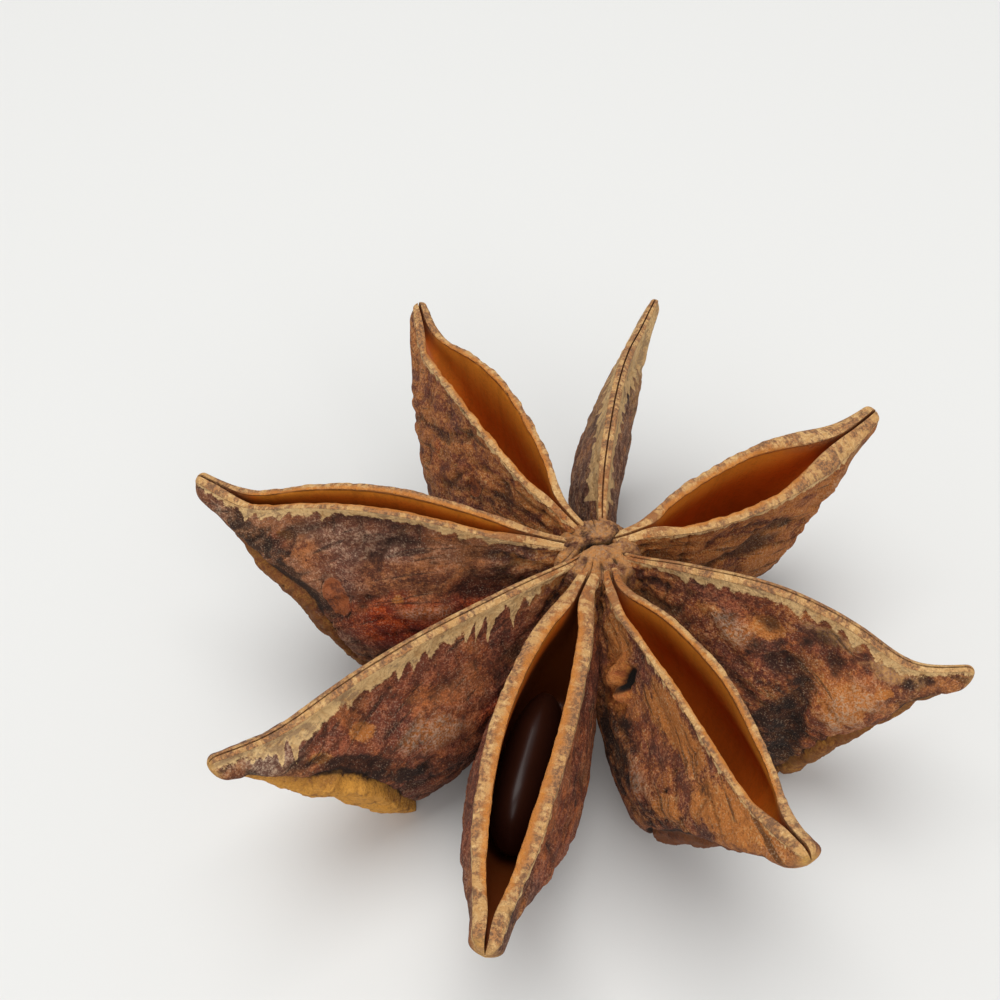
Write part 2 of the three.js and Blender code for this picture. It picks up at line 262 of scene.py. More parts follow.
def curve_at(points, x):
    """Smooth curve through (x, y) points, with the slope at each point taken from its neighbours."""
    xs = np.array([p[0] for p in points], float)
    ys = np.array([p[1] for p in points], float)
    before = np.maximum(np.arange(len(xs)) - 1, 0)
    after = np.minimum(np.arange(len(xs)) + 1, len(xs) - 1)
    slopes = (ys[after] - ys[before]) / (xs[after] - xs[before])
    x = np.clip(x, xs[0], xs[-1])
    i = np.clip(np.searchsorted(xs, x, side="right") - 1, 0, len(xs) - 2)
    step = xs[i + 1] - xs[i]
    t = (x - xs[i]) / step
    pull = slopes[i] * t * (1 - t) ** 2 - slopes[i + 1] * t * t * (1 - t)
    return mix(ys[i], ys[i + 1], t * t * (3 - 2 * t)) + step * pull


def lattice(cell, seed):
    """A repeatable number from -1 to 1 for each whole-number point."""
    x, y, z = (cell[..., k].astype(np.int64).astype(np.uint32) for k in range(3))
    code = x * np.uint32(374761393) + y * np.uint32(668265263) + z * np.uint32(2246822519)
    code = code + np.uint32(seed * 3266489917 % 4294967296)
    code = (code ^ (code >> np.uint32(15))) * np.uint32(2654435761)
    code = (code ^ (code >> np.uint32(13))) * np.uint32(3266489917)
    code = code ^ (code >> np.uint32(16))
    return code / 2147483647.5 - 1


def noise(points, size, seed):
    """Smooth noise from -1 to 1, with lumps about as wide as size."""
    scaled = points / size
    cell = np.floor(scaled)
    part = scaled - cell
    part = part ** 3 * (part * (part * 6 - 15) + 10)
    total = np.zeros(points.shape[:-1])
    for corner in itertools.product((0, 1), repeat=3):
        share = np.where(np.array(corner, bool), part, 1 - part).prod(axis=-1)
        total += share * lattice(cell + np.array(corner), seed)
    return total


def layered(points, size, seed, layers=3):
    """Noise with finer noise on top of it."""
    total = noise(points, size, seed)
    for k in range(1, layers):
        total = total + noise(points, size / 2 ** k, seed + k) / 1.8 ** k
    return total / sum(1 / 1.8 ** k for k in range(layers))


def creases(points, size, seed):
    """Narrow valleys, 0 on the flats and 1 along each crease."""
    return np.clip(1 - 5 * np.abs(layered(points, size, seed, 2)), 0, 1) ** 1.5


# -------- the follicle's form

def keel_shape(corner):
    return ((0, 0.6), (corner * 0.45, 0.86), (corner - 0.08, 0.985), (corner, 1),
            (corner + 0.07, 0.93), ((corner + 1) / 2, 0.5), (0.9, 0.22), (1, 0.11))


class Section:
    """The sizes of a follicle's cross-section at each distance along it."""

    def __init__(self, pod, along):
        crest = pod["crest"] * curve_at(CREST_SHAPE, along)
        self.top = pod["saddle"] * curve_at(SADDLE_SHAPE, along) - crest
        self.bottom = pod["depth"] * curve_at(keel_shape(pod["corner"]), along)
        self.belly = pod["half_width"] * curve_at(WIDTH_SHAPE, along)
        self.gape = pod["gape"] / 2 * curve_at(GAPE_SHAPE, along)
        self.lean = pod["lean"] * curve_at(GAPE_SHAPE, along)
        self.rim = pod["rim"] * (1 - 0.3 * ease(along, 0.7, 1)) * mix(0.6, 1, ease(along, 0, 0.22))
        self.lip = pod["lip"] * (1 - 0.3 * ease(along, 0.7, 1))
        self.opening, groove, self.slit = 0 * along, GROOVE_DEPTH, GROOVE_HALF
        if pod["gape"] > 0:
            self.opening = ease(along, HOLLOW_START, 0.2) * (1 - ease(along, *pod["closes"]))
            groove, self.slit = SLIT_DEPTH, SLIT_HALF
        groove_floor = 1 - groove / (self.bottom - self.top)
        self.floor = mix(groove_floor, HOLLOW_FLOOR, self.opening)

    def outer(self, level):
        """Half of the width over the walls, at a level from keel (0) to lip (1)."""
        under = self.belly * np.sin(math.pi / 2 * np.clip(level / BELLY, 0, 1)) ** 0.8
        over = mix(self.belly, self.gape + self.rim, ease(level, BELLY, 1))
        return np.where(level < BELLY, under, over)

    def inner(self, level, drop):
        """Half of the width between the walls; drop goes from the lip (0) to the floor (1)."""
        wide = np.maximum(self.outer(level) - self.lip, self.slit)
        return mix(self.slit, wide, self.opening) * np.sqrt(1 - drop ** 5)


def follicle_grid(pod, along_share, around_share):
    """Points of a follicle's whole skin, and what the finish needs to know about each of them.

    along_share runs from the inner end to the tip. around_share runs down the left wall, up the
    right wall, over the right lip, down into the hollow, up again and over the left lip.
    """
    start_pole = ease(along_share, 0, 0.012)
    tip_turn = np.clip((along_share - TIP_FROM) / TIP_SPAN, 0, 1) * math.pi / 2
    tip_start = 1 - TIP_ROUNDING / pod["reach"]
    body = mix(SKIN_START, tip_start, np.minimum(along_share / TIP_FROM, 1))
    along = body + (1 - tip_start) * np.sin(tip_turn)
    shrink = np.minimum(start_pole, np.cos(tip_turn))
    section = Section(pod, along)

    part = [np.clip((around_share - a) / (b - a), 0, 1) for a, b in zip(SKIN_KNOTS, SKIN_KNOTS[1:])]
    which = np.clip(np.searchsorted(SKIN_KNOTS, around_share, side="right") - 1, 0, 5)
    wall_level = np.where(which == 0, 1 - part[0], part[1]) ** 1.25
    drop = np.where(which == 3, part[3], 1 - part[4])
    hollow_level = mix(1, section.floor, drop)
    turn = math.pi * np.where(which == 2, part[2], 1 - part[5])
    side = np.where((which == 0) | (which >= 4), 1, -1)
    across = np.where(which == 2, part[2], np.where(which == 5, 1 - part[5], which > 2))

    outer_edge = section.outer(1.0)
    inner_edge = section.inner(1.0, 0.0)
    crest_half = (outer_edge - inner_edge) / 2
    rim_left = (outer_edge + inner_edge) / 2 + np.cos(turn) * crest_half
    ridge = mix(0.55 * outer_edge, 0.16 * section.lip, section.opening) * mix(0.4, 1, ease(along, 0, 0.16))
    rim_rise = ridge * mix(np.sin(turn / 2), np.sin(turn), section.opening)
    wall_rise = ridge * (1 - section.opening) * (1 - drop) * (which >= 3)

    on_wall = which <= 1
    on_rim = (which == 2) | (which == 5)
    level = np.where(on_wall, wall_level, np.where(on_rim, 1, hollow_level))
    left = np.where(on_rim, rim_left, section.inner(level, drop))
    left = np.where(on_wall, section.outer(level), left)
    left = side * left + section.lean * level
    below = mix(section.bottom, section.top, level) + 0.1 - np.where(on_rim, rim_rise, wall_rise)

    middle_below = (section.top + section.bottom) / 2
    left = mix(section.lean * 0.5, left, shrink)
    below = mix(middle_below, below, shrink)
    height = section.bottom - section.top
    depth = np.where(on_wall | on_rim, 0, (1 - level) * height)
    rim = np.where(on_rim, 1, ~on_wall * (1 - section.opening) * np.exp(-depth / 0.6))
    facts = {
        "along": along,
        "level": level,
        "side": np.where(on_wall, side, 0),
        "outside": on_wall.astype(float),
        "rim": rim,
        "inside": ~on_wall * (1 - rim),
        "across": across * section.opening,
        "wall": np.where(level > section.floor - 0.05, section.outer(level) - section.inner(level, 0), 9),
        "lip": np.where(on_wall, (1 - level) * height, 0),
        "keel": np.where(on_wall, level * height, height),
        # closed seams count 3 mm deeper, so the lining's painted shade darkens their grooves
        "depth": depth + 3 * (1 - section.opening) * ~on_wall,
        "height": height,
        "shrink": shrink,
    }
    return place(pod, along, left, below), facts


def turned(out, left, degrees):
    """Where points lie that are out along a heading and to its left."""
    heading = math.radians(degrees)
    return (out * math.cos(heading) - left * math.sin(heading),
            out * math.sin(heading) + left * math.cos(heading))


def place(pod, along, left, below):
    """Points in millimetres round the hub's axis, from distance along, to the left and below the seam."""
    twist = math.radians(pod["twist"]) * ease(along, 0, 0.35)
    out = mix(SEAM_START, pod["reach"], along)
    side = left * np.cos(twist) + below * np.sin(twist) + pod["bow"] * 4 * along * (1 - along)
    drop = below * np.cos(twist) - left * np.sin(twist)
    z = CROWN_HEIGHT + pod["rise"] * along - drop
    return np.stack([*turned(out, side, pod["heading"]), z], axis=-1)


def hub_place():
    """Where the hub's axis stands in the frame: the star's box is centred on the solid's box."""
    low, high = np.full(2, np.inf), np.full(2, -np.inf)
    share = np.linspace(0, 1, 80)
    for pod in FOLLICLES:
        points, _ = follicle_grid(pod, *np.meshgrid(share, share))
        low = np.minimum(low, points[..., :2].min(axis=(0, 1)))
        high = np.maximum(high, points[..., :2].max(axis=(0, 1)))
    target = (np.array(POD_BOX[0][:2]) + np.array(POD_BOX[1][:2])) / 2 / MM
    return target - (low + high) / 2


# -------- wear, wrinkles and tints

def mark_shape(mark, pod, facts):
    """Distance from a mark's middle, 1 at its edge, and 9 wherever the mark can't reach."""
    _, side, along, level, length, height, _ = mark
    out = (facts["along"] - along) * pod["reach"] / (length / 2)
    up = (facts["level"] - level) * facts["height"] / (height / 2)
    distance = np.sqrt(out ** 2 + up ** 2)
    return np.where(facts["side"] == side, distance, 9.0)


def tints(pod, points, facts, seed):
    """How grey, red, worn, dark and tan each point is, and its scars, pits, tears, lumps and strip."""
    fields = {kind: np.full(points.shape[:-1], float(pod.get(kind, 0)))
              for kind in ("grey", "red", "worn", "dark", "tan", "pit", "tear", "lump")}
    fields["scar"] = np.full(points.shape[:-1], -1.0)
    fields["strip"] = strip_field(pod, points, facts, seed)
    wobble = 0.35 * layered(points, 0.9, seed + 40)
    for mark in pod["marks"]:
        kind, strength = mark[0], mark[-1]
        distance = mark_shape(mark, pod, facts)
        if kind == "scar":
            fields[kind] = np.maximum(fields[kind], strength * (1 - distance - 0.25 * wobble))
        elif kind in ("pit", "tear"):
            ragged = distance + 1.2 * wobble
            fields[kind] = np.maximum(fields[kind], strength * (1 - ease(ragged, 0.55, 1.1)))
        elif kind == "lump":
            fields[kind] += strength * (1 - ease(distance + 0.5 * wobble, 0.0, 1.3))
        else:
            soft = strength * (1 - ease(distance + wobble, 0.45, 1.35))
            fields[kind] = np.maximum(fields[kind], soft)
    return fields


def strip_field(pod, points, facts, seed):
    """Millimetres inside the corky strip along the beak's keel, positive on it."""
    along, corner = facts["along"], pod["corner"]
    rise = ease(along, corner - 0.04, corner + 0.16) * (1 - 0.4 * ease(along, 0.72, 0.92))
    edge = pod["strip"] * facts["height"] * rise + 0.6 * layered(points, 2.0, seed + 29)
    beak = ease(along, corner - 0.04, corner + 0.02) * (1 - ease(along, 0.93, 0.99))
    inside = (edge - facts["keel"]) * beak - 2 * (1 - beak)
    return np.where(facts["outside"] > 0, inside, -2)


def scar_ring(scar):
    """1 in the groove round a scar."""
    return np.exp(-((scar + 0.06) / 0.08) ** 2)


def weathered(pod, points, facts, fields, seed):
    """How far each point of the skin is pushed outwards, in millimetres."""
    along, keel, lip = facts["along"], facts["keel"], facts["lip"]
    reach = along * pod["reach"]
    slant = lip - 0.3 * reach + 0.8 * noise(points, 3.5, seed + 3)
    fibre = np.stack([reach * 0.3, slant * 1.9, facts["side"] * 30.0], axis=-1)
    near_hub = 1 - ease(along, 0.06, 0.36)

    wall = 0.12 * layered(points, 2.6, seed) + 0.05 * layered(points, 0.8, seed + 5)
    fibrous = ease(lip, 0.1, 1.2) * ease(keel, 0.3, 2.5)
    wall += 0.09 * layered(fibre, 1.0, seed + 9) * fibrous
    wall -= 0.14 * creases(fibre, 1.6, seed + 11) * fibrous
    wall -= 0.09 * creases(points, 1.5, seed + 17) * ease(keel, 0.3, 2.5)
    wall += 0.025 * noise(points, 0.28, seed + 23) * (0.5 + near_hub)
    folds = np.sin(2 * math.pi * (lip + 0.5 * noise(points, 1.2, seed + 19)) / 0.6)
    wall += 0.13 * folds * near_hub * np.exp(-lip / 1.5)

    groove = np.exp(-(fields["strip"] / 0.22) ** 2)
    strip = ease(fields["strip"], 0, 0.5)
    wall += -0.25 * groove + strip * (pod["bulge"] + 0.17 * layered(points, 0.8, seed + 31))
    wall -= 0.12 * strip * creases(points, 1.1, seed + 33)

    wall -= 0.12 * np.clip(fields["scar"] * 4, 0, 1) + 0.10 * scar_ring(fields["scar"])
    wall += fields["lump"] - 0.24 * fields["pit"]
    wall += fields["tear"] * (0.3 * layered(points, 0.6, seed + 37) - 0.3 * creases(points, 0.9, seed + 39))

    lip_line = np.stack([reach, facts["side"] * 0 + seed, along * 0], axis=-1)
    edge_wave = pod["ragged"] * layered(lip_line, 0.7, seed + 43)
    rim = edge_wave + 0.012 * noise(points, 0.22, seed + 47)
    hollow = 0.05 * layered(points, 2.2, seed + 53) * facts["depth"] / (facts["depth"] + 1)
    crest = facts["rim"] * np.exp(-facts["depth"])
    push = wall * facts["outside"] + rim * crest + hollow * facts["inside"]
    near_edge = ease(facts["lip"], 0, 0.35) * facts["outside"]
    push = mix(push, rim, (1 - near_edge) * facts["outside"])
    thin = ease(facts["height"], 0.8, 3.0)
    push = push * facts["shrink"] * (0.35 + 0.65 * thin) * min(1, pod["half_width"] / 2)
    return np.where(facts["outside"] > 0, np.maximum(push, -0.6 * facts["wall"]), push)


def band_field(pod, facts, seed):
    """Millimetres inside the tan band along a lip, positive on it; its lower edge has points."""
    run = facts["along"] * pod["reach"] + 37.0 * facts["side"] - 0.5 * facts["lip"]
    line = np.stack([run, run * 0 + seed, run * 0], axis=-1)
    wave = run / 0.8 + 0.6 * noise(line, 1.6, seed + 61)
    tooth = (1 - np.abs(2 * (wave - np.floor(wave)) - 1)) ** 1.2 * 1.4
    height = 0.65 + 1.1 * noise(line, 0.9, seed + 67)
    taper = ease(facts["along"], 0.04, 0.22) * (1 - ease(facts["along"], 0.8, 0.95))
    width = (pod["band"] + pod["teeth"] * (tooth - 0.5) * height) * (0.35 + 0.65 * taper)
    return np.where(facts["outside"] > 0, width - facts["lip"], -0.1)


def outward_normals(points, around_axis, along_axis):
    """Unit normals of a grid of points that closes on itself along around_axis."""
    wrapped = np.take(points, [-2, *range(points.shape[around_axis]), 1], axis=around_axis)
    across = np.gradient(wrapped, axis=around_axis)
    across = np.take(across, range(1, points.shape[around_axis] + 1), axis=around_axis)
    forward = np.gradient(points, axis=along_axis)
    normal = np.cross(forward, across)
    return normal / np.maximum(np.linalg.norm(normal, axis=-1, keepdims=True), 1e-9)


# -------- making meshes

def start_piece(name, add_primitive, **settings):
    """Adds a primitive with nothing else selected, and names it."""
    bpy.ops.object.select_all(action="DESELECT")
    add_primitive(**settings)
    piece = bpy.context.object
    piece.name = name
    piece.data.name = name
    return piece


def vertex_places(piece):
    places = np.empty(len(piece.data.vertices) * 3)
    piece.data.vertices.foreach_get("co", places)
    return places.reshape(-1, 3)


def store(piece, name, values):
    """Keeps one number or one place for each vertex, for the finish to read."""
    kind, field = ("FLOAT", "value") if values.ndim == 1 else ("FLOAT_VECTOR", "vector")
    layer = piece.data.attributes.new(name, kind, "POINT")
    layer.data.foreach_set(field, np.ascontiguousarray(values, dtype=np.float32).ravel())


def close_piece(piece, merge_distance):
    """Merges the seam and the poles, turns the faces outwards and smooths the shading."""
    bpy.ops.object.mode_set(mode="EDIT")
    bpy.ops.mesh.select_all(action="SELECT")
    bpy.ops.mesh.remove_doubles(threshold=merge_distance)
    bpy.ops.mesh.normals_make_consistent(inside=False)
    bpy.ops.object.mode_set(mode="OBJECT")
    bpy.ops.object.shade_smooth()


def join_frame(piece, node, material):
    piece.data.materials.clear()
    piece.data.materials.append(material)
    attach(piece, "root")
    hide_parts(node)


def make_follicle(name, pod, seed, hub, material):
    """A grid wrapped into a follicle's closed skin, with its wear pushed in and its tints kept."""
    piece = start_piece(name, bpy.ops.mesh.primitive_grid_add, size=1,
                        x_subdivisions=ALONG_CUTS, y_subdivisions=AROUND_CUTS)
    flat = vertex_places(piece)
    share = flat[:, :2] + 0.5
    columns = np.unique(np.round(share[:, 0], 5))
    rows = np.unique(np.round(share[:, 1], 5))
    order = np.lexsort((share[:, 0], share[:, 1]))
    along_share, around_share = np.meshgrid(columns, rows)
    points, facts = follicle_grid(pod, along_share, around_share)
    fields = tints(pod, points, facts, seed)
    push = weathered(pod, points, facts, fields, seed)
    push[-1] = push[0]
    points = points + outward_normals(points, 0, 1) * push[..., None]
    points[..., :2] += hub
    points[..., 2] = np.maximum(points[..., 2], 0.0)
    points[-1] = points[0]
    points[:, 0] = points[:, 0].mean(axis=0)
    points[:, -1] = points[:, -1].mean(axis=0)
    placed = np.empty_like(flat)
    placed[order] = points.reshape(-1, 3) * MM
    piece.data.vertices.foreach_set("co", placed.ravel())

    along, lip, run = facts["along"], facts["lip"], facts["along"] * pod["reach"]
    kept = {**fields, "band": band_field(pod, facts, seed), "tip": along, "relief": push * facts["outside"]}
    kept.update({fact: facts[fact] for fact in ("lip", "inside", "rim", "across")})
    kept["red"] = fields["red"] * (1 - ease(along, 0.74, 0.92))
    # shade sets how soon the painted shade of the lining comes in with depth
    kept["depth"] = facts["depth"] * pod["shade"]
    kept["cork"] = np.full(points.shape[:-1], pod["cork"])
    kept["corky"] = ease(fields["strip"], -0.05, 0.2)
    kept["banded"] = ease(kept["band"], 0.0, 0.15)
    kept["fold"] = (1 - ease(along, 0.04, 0.24)) * (1 - ease(lip, 0.4, 3.0)) * (1 - facts["inside"])
    # a dark line in the groove above the corky strip and round each scar: painted shade in those grooves
    strip_line = ease(fields["strip"], -0.8, -0.1) * (1 - ease(fields["strip"], 0.02, 0.2))
    kept["crease"] = np.maximum(strip_line, 0.8 * scar_ring(fields["scar"]))
    fibre = np.stack([run * 0.25, (lip - 0.3 * run) * 2.6, seed * 0.07 + 3.0 * facts["side"]], axis=-1)
    for fact, values in (*((fact, kept[fact]) for fact in HUSK_FACTS), ("fibre", fibre * MM)):
        values = np.array(values, float)
        values[-1] = values[0]
        ordered = np.empty((len(flat), *values.shape[2:]))
        ordered[order] = values.reshape(ordered.shape)
        store(piece, fact, ordered)
    close_piece(piece, 0.0001 * MM)
    join_frame(piece, "pod", material)
    return piece


# -------- finishes

# What each vertex of the husk tells its finish: tints from 0 to 1, and places in millimetres
HUSK_FACTS = ("grey", "red", "worn", "dark", "tan", "scar", "pit", "tear", "band", "strip", "crease",
              "corky", "cork", "banded", "fold", "tip", "lip", "depth", "inside", "rim", "across", "relief")

# The husk's patterns: what they follow, the width of a lump in millimetres, detail, roughness and
# distortion. What follows the fibres is drawn out by 4 along them and squeezed to 0.4 across them.
HUSK_PATTERNS = {
    "zones": ("place", 3.2, 4, 0.6, 0.8),
    "patches": ("place", 1.6, 6, 0.65, 0.5),
    "mottle": ("place", 0.6, 5, 0.7, 0.0),
    "grain": ("place", 0.14, 3, 0.7, 0.0),
    "grit": ("place", 0.07, 2, 0.6, 0.0),
    "fibres": ("fibre", 1.0, 5, 0.65, 0.3),
    "marks": ("fibre", 0.25, 2, 0.6, 0.0),
}

# The husk's layers, each over those before it: name, weighted signals, their limits, gates, colours, and
# what turns the first colour into the second. A layer comes in as its signals go from one limit to the
# other, times its gates.
HUSK_LAYERS = (
    ("light grains", {"fibres": 0.3, "mottle": 0.45, "grain": 0.25}, (0.42, 0.6), (),
     ("brown", "brown_light"), {"mottle": 0.6, "grain": 0.4}, (0.4, 0.6)),
    ("plum zones", {"zones": -1, "mottle": 0.4}, (-0.34, -0.2), (0.75,),
     ("plum_dark", "grey"), {"grain": 0.6, "mottle": 0.4}, (0.42, 0.6)),
    ("ochre zones", {"zones": 1, "patches": 0.5}, (0.76, 0.9), (0.6,),
     ("brown_light", "worn"), {"grain": 0.5, "mottle": 0.5}, (0.45, 0.6)),
    ("grey", {"patches": 0.5, "mottle": 0.2, "fibres": 0.3, "grey": 0.16}, (0.54, 0.68), ("grey", 0.8),
     ("grey", "dust"), {"grain": 0.6, "mottle": 0.4}, (0.47, 0.6)),
    ("red", {"mottle": 0.5, "patches": 0.4, "red": 0.35}, (0.42, 0.62), ("red",),
     ("red", "rust"), {"grain": 0.4, "mottle": 0.6}, (0.45, 0.6)),
    ("worn", {"worn": 0.34, "patches": 0.5, "mottle": 0.2, "fibres": 0.3, "grain": 0.3}, (0.78, 0.93),
     (0.85,), ("worn", "tan"), {"grain": 0.6, "mottle": 0.4}, (0.5, 0.7)),
    ("tan", {"tan": 0.5, "mottle": 1}, (0.72, 0.98), (0.8,), ("tan", "grey"), {"grain": 1}, (0.4, 0.65)),
    ("dark", {"dark": 0.34, "patches": -0.6, "mottle": -0.7, "fibres": -0.3}, (-0.68, -0.44), (0.88,),
     ("dark",)),
    ("streaks", {"fibres": 1, "patches": 0.3}, (0.71, 0.81), (0.68,), ("dark",)),
    ("ridges", {"relief": 1, "mottle": 0.2}, (0.16, 0.36), (0.5,),
     ("worn", "dust"), {"grain": 1}, (0.4, 0.6)),
    # valleys: painted shade in the dents pushed into the wall
    ("valleys", {"relief": -1, "mottle": 0.15}, (0.1, 0.28), (0.78,), ("dark",)),
    # underside: darker towards the keel, partly painted shade and partly dirt
    ("underside", {"lip": 1}, (4.5, 9), (0.35,), ("dark",)),
    ("dust", {"grit": 1, "patches": 0.3}, (0.71, 0.85), (0.34,), ("dust",)),
    ("specks", {"grit": -1}, (-0.46, -0.34), (0.3,), ("dark",)),
    ("folds", {"mottle": 1, "fibres": 0.6}, (0.7, 0.95), ("fold", 0.9),
     ("worn", "tan"), {"grain": 1}, (0.4, 0.7)),
    ("cork", {"strip": 1, "mottle": 0.8}, (0.35, 0.65), (0.92,),
     ("cork_dark", "cork"), {"cork": 1, "grain": 0.9, "mottle": 1.5, "fibres": 1.2}, (1.9, 2.9)),
    ("cork pores", {"patches": 0.4, "mottle": 0.6, "fibres": 0.3, "cork": -0.05}, (0.59, 0.72),
     ("corky", 0.7), ("brown", "plum_dark"), {"grain": 1}, (0.45, 0.6)),
    # creases: painted shade in the strip's groove, the scar rings and the hub's furrows
    ("creases", {"crease": 1, "mottle": 1.2, "patches": 0.8}, (1.55, 1.9), (0.75,), ("dark",)),
    ("band", {"band": 1, "mottle": 0.6, "grain": 0.3}, (0.42, 0.54), (0.85,),
     ("tan", "tan_light"), {"mottle": 0.6, "grain": 0.4}, (0.34, 0.56)),
    ("band marks", {"patches": 1, "mottle": 0.6, "marks": 0.2}, (0.9, 1.02), ("banded", 0.6),
     ("plum", "grey"), {"grain": 1}, (0.4, 0.6)),
    ("scars", {"scar": 1}, (0, 0.12), (0.72,), ("brown", "scar"), {"mottle": 1, "grain": 0.5}, (0.6, 0.85)),
    ("tears", {"tear": 1}, (0, 1), (0.85,), ("scar", "worn"), {"mottle": 1, "grain": 1}, (0.8, 1.1)),
    # pits: holes and the hub's crack filled in with painted shade
    ("pits", {"pit": 1}, (0, 1), (), ("hole_shade",)),
    # lining and deep lining: the amber darkening with depth is painted shade; the lining streaks are the
    # lining's own marks
    ("lining", {"inside": 1}, (0, 1), (), ("amber_light", "amber"), {"depth": 1, "mottle": 0.8}, (0.5, 1.9)),
    ("deep lining", {"depth": 1, "mottle": 0.8}, (1.8, 5), ("inside",), ("amber_shade_and_streaks",)),
    ("lining streaks", {"fibres": 0.5, "grain": 0.5}, (0.45, 0.62), ("inside", 0.28),
     ("amber_shade_and_streaks",)),
    ("rims", {"rim": 1, "mottle": 0.5, "patches": 0.5}, (1.26, 1.42), (0.94,),
     ("tan", "tan_light"), {"grain": 0.4, "mottle": 0.4, "marks": 0.2}, (0.42, 0.6)),
    ("rim marks", {"mottle": 0.7, "patches": 0.5, "marks": 0.35}, (0.7, 0.82), ("rim", 0.85),
     ("plum", "brown_light"), {"grain": 1}, (0.42, 0.6)),
    ("inner rims", {"across": 1, "mottle": 0.8}, (0.8, 1.15), ("rim", 0.7),
     ("amber_light", "worn"), {"grain": 1}, (0.35, 0.65)),
    ("gathered rims", {"mottle": 1, "patches": 0.6}, (0.72, 0.92), ("fold", "rim", 0.8),
     ("worn", "brown"), {"grain": 1}, (0.45, 0.6)),
    ("beak ends", {"tip": 1, "mottle": 0.05}, (1.0, 1.04), (), ("tan", "tip"), {"mottle": 1}, (0.4, 0.6)),
)


def linear(hex_colour):
    """Linear RGBA from an sRGB hex colour."""
    parts = [int(hex_colour[k:k + 2], 16) / 255 for k in (1, 3, 5)]
    return tuple(c / 12.92 if c <= 0.04045 else ((c + 0.055) / 1.055) ** 2.4 for c in parts) + (1.0,)


def add(tree, kind, settings=None, links=None):
    """Adds a node, sets its properties, and gives each input a value or links it to an output."""
    node = tree.nodes.new(kind)
    for name, value in (settings or {}).items():
        setattr(node, name, value)
    for key, value in (links or {}).items():
        if isinstance(value, bpy.types.NodeSocket):
            tree.links.new(value, node.inputs[key])
        else:
            node.inputs[key].default_value = value
    return node


def new_material(name):
    material = bpy.data.materials.new(name)
    material.use_nodes = True
    tree = material.node_tree
    return material, tree, tree.nodes["Principled BSDF"]


def spread(tree, signals, weights, limits, gates=()):
    """Goes from 0 to 1 as the weighted signals go from one limit to the other, times each gate."""
    total = 0.0
    for name, weight in weights.items():
        total = add(tree, "ShaderNodeMath", {"operation": "MULTIPLY_ADD"},
                    {0: signals[name], 1: weight, 2: total}).outputs[0]
    share = add(tree, "ShaderNodeMapRange", {"interpolation_type": "SMOOTHSTEP"},
                {"Value": total, "From Min": limits[0], "From Max": limits[1]}).outputs["Result"]
    for gate in gates:
        share = add(tree, "ShaderNodeMath", {"operation": "MULTIPLY"},
                    {0: share, 1: signals.get(gate, gate)}).outputs[0]
    return share


def husk_material(colours):
    """Dried fruit husk, woody and granular: rough, mottled brown outside with tan lips, and a smooth
    amber lining inside the open follicles, darkened with depth by painted shade. Dents, grooves and holes
    get painted shade too, and the lower walls painted shade and dirt."""
    material, tree, shader = new_material("dried_star_anise_husk")
    signals = {name: add(tree, "ShaderNodeAttribute", {"attribute_name": name}).outputs["Fac"]
               for name in HUSK_FACTS}
    places = {
        "place": add(tree, "ShaderNodeTexCoord").outputs["Object"],
        "fibre": add(tree, "ShaderNodeAttribute", {"attribute_name": "fibre"}).outputs["Vector"],
    }
    for name, (follows, size, detail, roughness, distortion) in HUSK_PATTERNS.items():
        signals[name] = add(tree, "ShaderNodeTexNoise", None, {
            "Vector": places[follows], "Scale": 1 / (size * MM), "Detail": detail,
            "Roughness": roughness, "Distortion": distortion}).outputs["Fac"]

    skin = colours.brown
    for _, where, limits, gates, tones, *shade in HUSK_LAYERS:
        tone = getattr(colours, tones[0])
        if shade:
            tone = add(tree, "ShaderNodeMix", {"data_type": "RGBA"}, {
                0: spread(tree, signals, *shade), 6: tone, 7: getattr(colours, tones[1])}).outputs[2]
        skin = add(tree, "ShaderNodeMix", {"data_type": "RGBA"}, {
            0: spread(tree, signals, where, limits, gates), 6: skin, 7: tone}).outputs[2]
    tree.links.new(skin, shader.inputs["Base Color"])

    # The lining is smooth with a soft sheen, and the husk dull
    dull = spread(tree, signals, {"mottle": 0.35, "inside": -0.38}, (-0.65, 0.35))
    tree.links.new(dull, shader.inputs["Roughness"])
    shader.inputs["Specular IOR Level"].default_value = 0.3

    smoothed = spread(tree, signals, {"inside": -1}, (-1, 0))
    relief = spread(tree, {**signals, "smoothed": smoothed},
                    {"grain": 0.45, "mottle": 0.65, "fibres": -0.3}, (0, 1), ("smoothed",))
    bump = add(tree, "ShaderNodeBump", None, {
        "Strength": 0.9, "Distance": 0.22 * MM, "Height": relief}).outputs[0]
    tree.links.new(bump, shader.inputs["Normal"])
    return material


def seed_material(colours):
    """Polished seed coat, hard and smooth: dark brown, darkened further as painted shade, with a clear
    glossy skin.
    """
    material, tree, shader = new_material("polished_seed_coat")
    place_of = add(tree, "ShaderNodeTexCoord").outputs["Object"]
    cloud = add(tree, "ShaderNodeTexNoise", None, {
        "Vector": place_of, "Scale": 1 / (1.8 * MM), "Detail": 3.0}).outputs["Fac"]
    coat = add(tree, "ShaderNodeMix", {"data_type": "RGBA"},
               {0: cloud, 6: colours.seed, 7: colours.seed_light}).outputs[2]
    tree.links.new(coat, shader.inputs["Base Color"])
    shader.inputs["Roughness"].default_value = 0.34
    shader.inputs["IOR"].default_value = 1.5
    shader.inputs["Specular IOR Level"].default_value = 0.2
    shader.inputs["Coat Weight"].default_value = 0.06
    shader.inputs["Coat Roughness"].default_value = 0.12
    return material


def floor_material(colours):
    """Plain matt card, pale and even."""
    material, tree, shader = new_material("matt_white_card")
    shader.inputs["Base Color"].default_value = colours.card
    shader.inputs["Roughness"].default_value = 0.9
    shader.inputs["Specular IOR Level"].default_value = 0.1
    return material


# -------- settings

def colour(name, description, hex_colour):
    return bpy.props.FloatVectorProperty(name=name, description=description, subtype="COLOR", size=4,
                                         min=0, max=1, default=linear(hex_colour))


